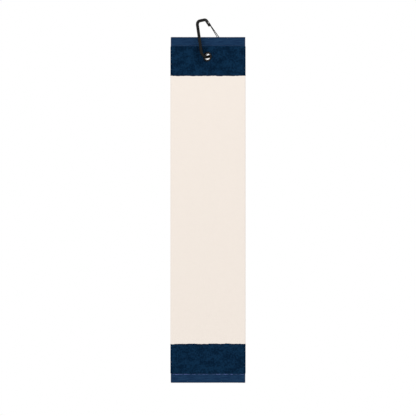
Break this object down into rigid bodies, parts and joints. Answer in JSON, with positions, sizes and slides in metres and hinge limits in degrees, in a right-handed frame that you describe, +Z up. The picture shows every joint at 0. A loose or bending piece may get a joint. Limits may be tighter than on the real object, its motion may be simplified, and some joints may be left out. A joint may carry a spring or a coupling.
{
  "type": "golf towel",
  "caption": "Terry towel folded in three lengthwise, navy ends and cream middle, with an eyelet near its top edge and a wire-gate carabiner through it.",
  "frame": {"origin": "where a hanging ring bears on the carabiner, at the highest point inside its crook", "axes": "+Z up, the towel's front face looks along -Y, +X to the right of someone facing it"},
  "size_m": [0.1375, 0.038, 0.669],
  "materials": {
    "anodised_bar": "black anodised, half gloss",
    "steel_pin": "dark steel rivet",
    "gate_wire": "black coated spring wire",
    "eyelet_metal": "black nickel plated, polished",
    "navy_pile": "sheared terry velour",
    "cream_pile": "sheared terry velour",
    "navy_weave": "flat weave",
    "cream_weave": "flat weave",
    "navy_thread": "polyester sewing thread",
    "cream_thread": "polyester sewing thread"
  },
  "bodies": {
    "carabiner": {"carabiner_body": "anodised_bar", "gate_pin": "steel_pin"},
    "gate": {"wire_gate": "gate_wire"},
    "towel": {"eyelet": "eyelet_metal", "eyelet_washer": "eyelet_metal", "top_band": "navy_pile", "bottom_band": "navy_pile", "centre_cloth": "cream_pile", "top_hem": "navy_weave", "bottom_hem": "navy_weave", "inner_side_hem": "cream_weave", "outer_side_hem": "cream_weave", "top_hem_stitching": "navy_thread", "bottom_hem_stitching": "navy_thread", "inner_side_stitching": "cream_thread", "outer_side_stitching": "cream_thread"}
  },
  "joints": [
    {"name": "gate_hinge", "type": "hinge", "parent": "carabiner", "child": "gate", "pos_m": [0.00562, 0.00379, -0.00191], "axis": [-0.5592, 0.829, 0], "range_deg": [0, 16], "stiffness_Nm_per_rad": 0.344, "springref_deg": -13.18},
    {"name": "towel_swing", "type": "hinge", "parent": "carabiner", "child": "towel", "pos_m": [0.00588, 0.00397, -0.06453], "axis": [0.454, 0.891, 0], "range_deg": [-6, 18]}
  ]
}
